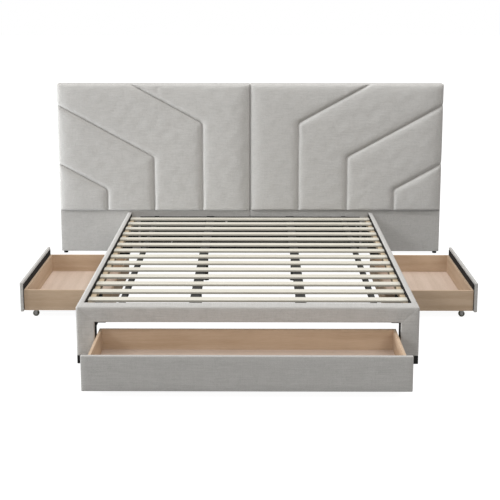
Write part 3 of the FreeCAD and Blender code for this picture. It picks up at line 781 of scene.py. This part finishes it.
def drawer_front(drawer, normal):
    """A drawer's board in its fabric, which lies flat on it and wraps round its edges."""
    node = f"drawer_{drawer}_front"
    low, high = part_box(node)
    place = facing(normal)
    back = place.inverted()
    across, up, out = (sorted(pair) for pair in zip(back @ low, back @ high))
    corners = rectangle((across[0], up[0]), (across[1], up[1]))
    outline = Outline(corners, (0.004,) * 4, (0.004,) * 4, 0.010)
    pad = Panel(outline, out[1] - out[0], 0.022, waves=0.00025, seed=41)
    name = f"upholstered_drawer_front_{drawer}"
    mesh = pad.build(name, place @ Matrix.Translation((0, 0, out[1])))
    piece = new_piece(name, mesh, f"drawer_{drawer}", fabric, [node])


for drawer, normal in (("left", (-1, 0, 0)), ("right", (1, 0, 0)), ("foot", (0, -1, 0))):
    drawer_front(drawer, normal)


# ---------------------------------------------------------------- CAD nodes that stay

# What each name begins or ends with, and its material. The slats are numbered from slat_01 to slat_14.
FINISHES = (
    ("slat_0", slat_wood),
    ("slat_1", slat_wood),
    ("slat_ledgers", raw_wood),
    ("bed_legs", black_plastic),
    ("black_linings", cloth),
    ("headboard_back_cloths", cloth),
    ("headboard_panel", raw_wood),
    ("headboard_battens", raw_wood),
    ("headboard_glides", black_plastic),
    ("headboard_joining_plates", zinc),
    ("footboard_core", raw_wood),
    ("side_rail_core", raw_wood),
    ("center_tubes", steel),
    ("outer_tubes", steel),
    ("tube_saddles", steel),
    ("tube_legs", steel),
    ("tube_leg_feet", black_plastic),
    ("corner_brackets", steel),
    ("bracket_bolts", zinc),
    ("drawer_left_box", beech_boards),
    ("drawer_right_box", beech_boards),
    ("drawer_foot_box", beech_boards),
    ("drawer_left_bottom", beech_panels["y"]),
    ("drawer_right_bottom", beech_panels["y"]),
    ("drawer_foot_bottom", beech_panels["x"]),
)
ENDINGS = (("_lining", cloth), ("_caster_forks", zinc), ("_wheels", wheel_plastic))

for node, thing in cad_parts.items():
    if thing.hide_render:
        continue
    finishes = [material for start, material in FINISHES if node.startswith(start)]
    finishes += [material for end, material in ENDINGS if node.endswith(end)]
    paint(thing, finishes[0])


# ---------------------------------------------------------------- camera, floor and light

# The photograph's viewpoint, with angles in degrees and lengths of the lens in millimetres
VIEWPOINT = (0.0386, -5.7324, 1.7977)
LOOKING_DOWN = 10.511
TURNED_LEFT = 0.317
FOCAL_LENGTH = 77.245
FILM_WIDTH = 36
LENS_SHIFT = -0.14

# The studio: half the floor's width, how far below the feet it is, and the tones of the lamps
FLOOR_HALF = 30
FLOOR_DROP = 0.001
COOL = (0.95, 0.98, 1.0)
WARM = (1.0, 0.98, 0.95)

camera = add_to_scene("camera", bpy.data.cameras.new("camera"))
camera.location = VIEWPOINT
camera.rotation_euler = (math.radians(90 - LOOKING_DOWN), 0, math.radians(TURNED_LEFT))
camera.data.lens = FOCAL_LENGTH
camera.data.sensor_width = FILM_WIDTH
camera.data.shift_y = LENS_SHIFT
camera.data.clip_end = 100
bpy.context.scene.camera = camera


def floor():
    """A plain floor that looks white to the camera, with faint shadows, and throws little light back."""
    n = Nodes("studio_floor")
    n.set(Base_Color=(0.2, 0.2, 0.2, 1), Roughness=0.9, Specular_IOR_Level=0.0)
    n.set(Emission_Color=(1, 1, 1, 1))
    seen = n.add("ShaderNodeLightPath").outputs["Is Camera Ray"]
    n.set(Emission_Strength=n.math("MULTIPLY_ADD", seen, 0.90, 0.05))
    mesh = bpy.data.meshes.new("studio_floor")
    corners = rectangle((-FLOOR_HALF, -FLOOR_HALF), (FLOOR_HALF, FLOOR_HALF))
    mesh.from_pydata([(*corner, -FLOOR_DROP) for corner in corners], [], [(0, 1, 2, 3)])
    mesh.materials.append(n.material)
    thing = add_to_scene("studio_floor", mesh)


def turned_along(light, way):
    """Points a light along a direction."""
    light.rotation_mode = "QUATERNION"
    light.rotation_quaternion = way.to_track_quat("-Z", "Y")


def area_light(name, place, aim, size, watts, tone=(1, 1, 1)):
    """A rectangular lamp at a place, turned to what it is aimed at."""
    lamp = bpy.data.lights.new(name, "AREA")
    lamp.shape, lamp.size, lamp.size_y = "RECTANGLE", size[0], size[1]
    lamp.energy, lamp.color = watts, tone
    light = add_to_scene(name, lamp)
    light.location = place
    turned_along(light, Vector(aim) - Vector(place))


def sun_light(name, rake, rise, energy, softness, tone):
    """A distant lamp, with its angles in degrees. rise is where it stands in a view from the front: 0 is on
    the left, 90 is overhead and 180 is on the right. rake is how far it is turned from there to the front."""
    lamp = bpy.data.lights.new(name, "SUN")
    lamp.energy, lamp.angle, lamp.color = energy, math.radians(softness), tone
    rake, rise = math.radians(rake), math.radians(rise)
    light = add_to_scene(name, lamp)
    way = (math.cos(rake) * math.cos(rise), math.sin(rake), -math.cos(rake) * math.sin(rise))
    turned_along(light, Vector(way))
    return light


def only_on(light, piece):
    """Makes a light reach one piece alone, as if nothing stood round it."""
    alone = bpy.data.collections.new(f"lit_by_{light.name}")
    alone.objects.link(bpy.data.objects[piece])
    light.light_linking.receiver_collection = alone
    light.light_linking.blocker_collection = alone


def surroundings():
    """A world whose soft light grows from the horizon to overhead. The camera sees it as plain white."""
    world = bpy.data.worlds.new("studio")
    world.use_nodes = True
    tree = world.node_tree
    soft = tree.nodes["Background"]
    soft.inputs["Color"].default_value = (1.0, 0.985, 0.955, 1)
    towards = tree.nodes.new("ShaderNodeTexCoord")
    height = tree.nodes.new("ShaderNodeSeparateXYZ")
    tree.links.new(towards.outputs["Generated"], height.inputs[0])
    rising = tree.nodes.new("ShaderNodeMapRange")
    rising.inputs["To Min"].default_value = 0.42
    rising.inputs["To Max"].default_value = 0.82
    tree.links.new(height.outputs["Z"], rising.inputs["Value"])
    tree.links.new(rising.outputs["Result"], soft.inputs["Strength"])
    seen = tree.nodes.new("ShaderNodeBackground")
    seen.inputs["Color"].default_value = (1, 1, 1, 1)
    path = tree.nodes.new("ShaderNodeLightPath")
    mix = tree.nodes.new("ShaderNodeMixShader")
    tree.links.new(path.outputs["Is Camera Ray"], mix.inputs[0])
    tree.links.new(soft.outputs[0], mix.inputs[1])
    tree.links.new(seen.outputs[0], mix.inputs[2])
    tree.links.new(mix.outputs[0], tree.nodes["World Output"].inputs["Surface"])
    bpy.context.scene.world = world


def lamps():
    """Cool light that rakes across the bed from the left, and weaker light from the right and from above. The
    headboard's left half has a lamp of its own from low on the left, which brings out its channels."""
    area_light("key", (-14, -1.3, 0.3), (0, 1.0, 0.9), (2.2, 0.6), 1850, COOL)
    sun_light("upper", 24, 36, 0.8, 16, COOL)
    sun_light("right", 40, 125, 0.65, 25, WARM)
    only_on(sun_light("under", 5, -38, 2.1, 6, COOL), "padded_headboard_left")
    area_light("top", (0, 0.3, 4.2), (0, 0.3, 0), (3.5, 3.5), 80)


floor()
surroundings()
lamps()
bpy.context.scene.view_settings.view_transform = "Standard"
